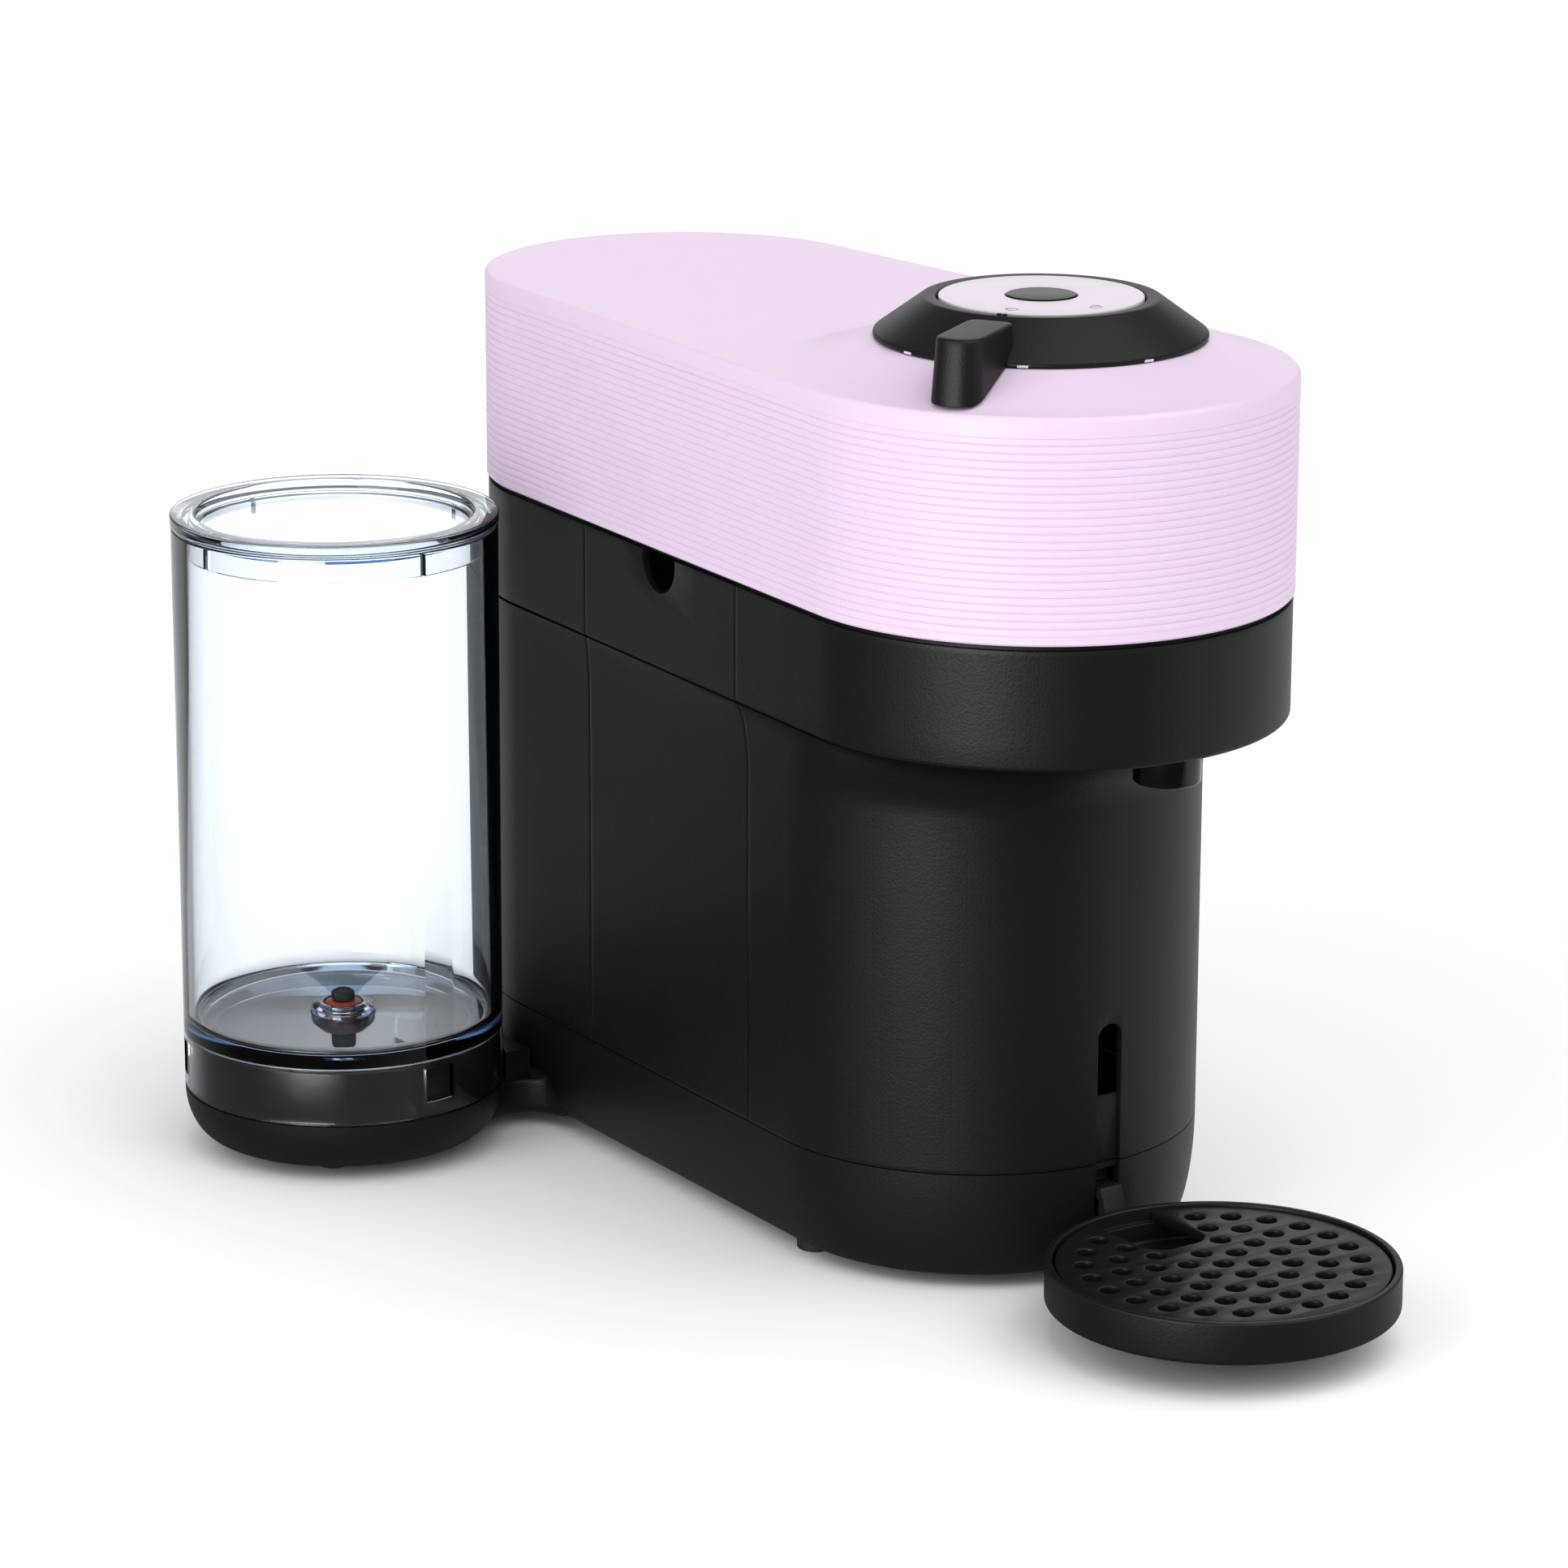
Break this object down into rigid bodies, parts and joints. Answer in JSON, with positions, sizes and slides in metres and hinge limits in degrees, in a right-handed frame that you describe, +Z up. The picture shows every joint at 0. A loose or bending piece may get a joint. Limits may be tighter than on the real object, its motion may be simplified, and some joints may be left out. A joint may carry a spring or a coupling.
{
  "type": "pod coffee machine",
  "caption": "Countertop pod coffee machine with hinged head lid, locking lever, side water tank, used-capsule container and round cup support.",
  "frame": {"origin": "bottom centre of the machine's box, on the plane it stands on", "axes": "+Z up; -Y towards the user, where the cup support is; the water tank is on the -X side"},
  "size_m": [0.2143, 0.3496, 0.2556],
  "materials": {
    "black_plastic": "fine textured black ABS",
    "lilac_plastic": "satin lilac ABS",
    "gloss_black": "gloss black",
    "clear_plastic": "clear tank plastic",
    "rubber": "moulded rubber",
    "red_silicone": "red silicone seal",
    "steel": "turned or drawn steel",
    "aluminium": "die cast",
    "grey_plastic": "inner mouldings",
    "circuit_board": "soldermask green",
    "silicone_hose": "translucent silicone"
  },
  "bodies": {
    "machine": {"base_moulding": "black_plastic", "front_shell": "black_plastic", "rear_shell": "black_plastic", "top_cover": "lilac_plastic", "gap_trim": "black_plastic", "rubber_feet": "rubber", "case_screws": "steel", "hinge_pin": "steel", "inner_deck": "grey_plastic", "coffee_collector": "grey_plastic", "outlet_duct": "grey_plastic", "coffee_outlet": "gloss_black", "drive_motor": "steel", "rotor_bearings": "steel", "front_bulkhead": "grey_plastic", "rear_bulkhead": "grey_plastic", "pump": "steel", "pump_mounts": "rubber", "thermoblock": "aluminium", "flow_meter": "grey_plastic", "inlet_hose": "silicone_hose", "pressure_hose": "silicone_hose", "control_board": "circuit_board", "cord_gland": "rubber", "connector_cover": "black_plastic", "tank_pedestal": "black_plastic", "inlet_socket": "black_plastic"},
    "head_lid": {"hinge_knuckle": "lilac_plastic", "lid_carrier": "black_plastic", "lid_disc": "lilac_plastic", "bell_bearing": "steel", "water_needle": "steel", "button_spring": "steel"},
    "button": {"brew_button": "gloss_black"},
    "lock": {"locking_ring": "black_plastic", "pointer_pip": "gloss_black", "lever": "black_plastic"},
    "bell": {"clamp_bell": "grey_plastic"},
    "rotor": {"capsule_holder": "grey_plastic", "rotor_shaft": "steel", "motor_armature": "steel"},
    "container": {"container_panel": "black_plastic", "capsule_bin": "black_plastic"},
    "cup_support": {"drip_tray": "black_plastic", "tray_hook": "black_plastic"},
    "grid": {"drip_grid": "black_plastic"},
    "tank": {"water_tank": "clear_plastic", "valve_ring": "clear_plastic", "valve_seal": "red_silicone"},
    "tank_cover": {"tank_lid": "clear_plastic"},
    "valve": {"valve_plunger": "rubber"}
  },
  "joints": [
    {"name": "lid_hinge", "type": "hinge", "parent": "machine", "child": "head_lid", "pos_m": [0.04115, -0.0016, 0.2412], "axis": [-1, 0, 0], "range_deg": [0, 60]},
    {"name": "button_press", "type": "slide", "parent": "head_lid", "child": "button", "axis": [0, 0, 1], "range_m": [-0.001, 0], "stiffness_N_per_m": 600, "springref_m": 0.001, "deforming": ["button_spring"]},
    {"name": "lock_turn", "type": "hinge", "parent": "head_lid", "child": "lock", "pos_m": [0.04115, -0.0476, 0.25], "axis": [0, 0, 1], "range_deg": [0, 61]},
    {"name": "bell_spin", "type": "hinge", "parent": "head_lid", "child": "bell", "pos_m": [0.04115, -0.0476, 0.24], "axis": [0, 0, 1], "continuous": true},
    {"name": "rotor_spin", "type": "hinge", "parent": "machine", "child": "rotor", "pos_m": [0.04115, -0.0476, 0.2], "axis": [0, 0, 1], "continuous": true},
    {"name": "container_slide", "type": "slide", "parent": "machine", "child": "container", "axis": [-1, 0, 0], "range_m": [0, 0.1]},
    {"name": "cup_support_pull", "type": "slide", "parent": "machine", "child": "cup_support", "axis": [0, -1, 0], "range_m": [0, 0.02]},
    {"name": "grid_lift", "type": "slide", "parent": "cup_support", "child": "grid", "axis": [0, 0, 1], "range_m": [0, 0.03]},
    {"name": "tank_lift", "type": "slide", "parent": "machine", "child": "tank", "axis": [0, 0, 1], "range_m": [0, 0.05]},
    {"name": "tank_lid_lift", "type": "slide", "parent": "tank", "child": "tank_cover", "axis": [0, 0, 1], "range_m": [0, 0.04]},
    {"name": "valve_lift", "type": "slide", "parent": "tank", "child": "valve", "axis": [0, 0, 1], "range_m": [0, 0.003], "stiffness_N_per_m": 150, "springref_m": -0.002}
  ],
  "couplings": [
    {"joint": "bell_spin", "follows": "rotor_spin", "ratio": 1}
  ]
}
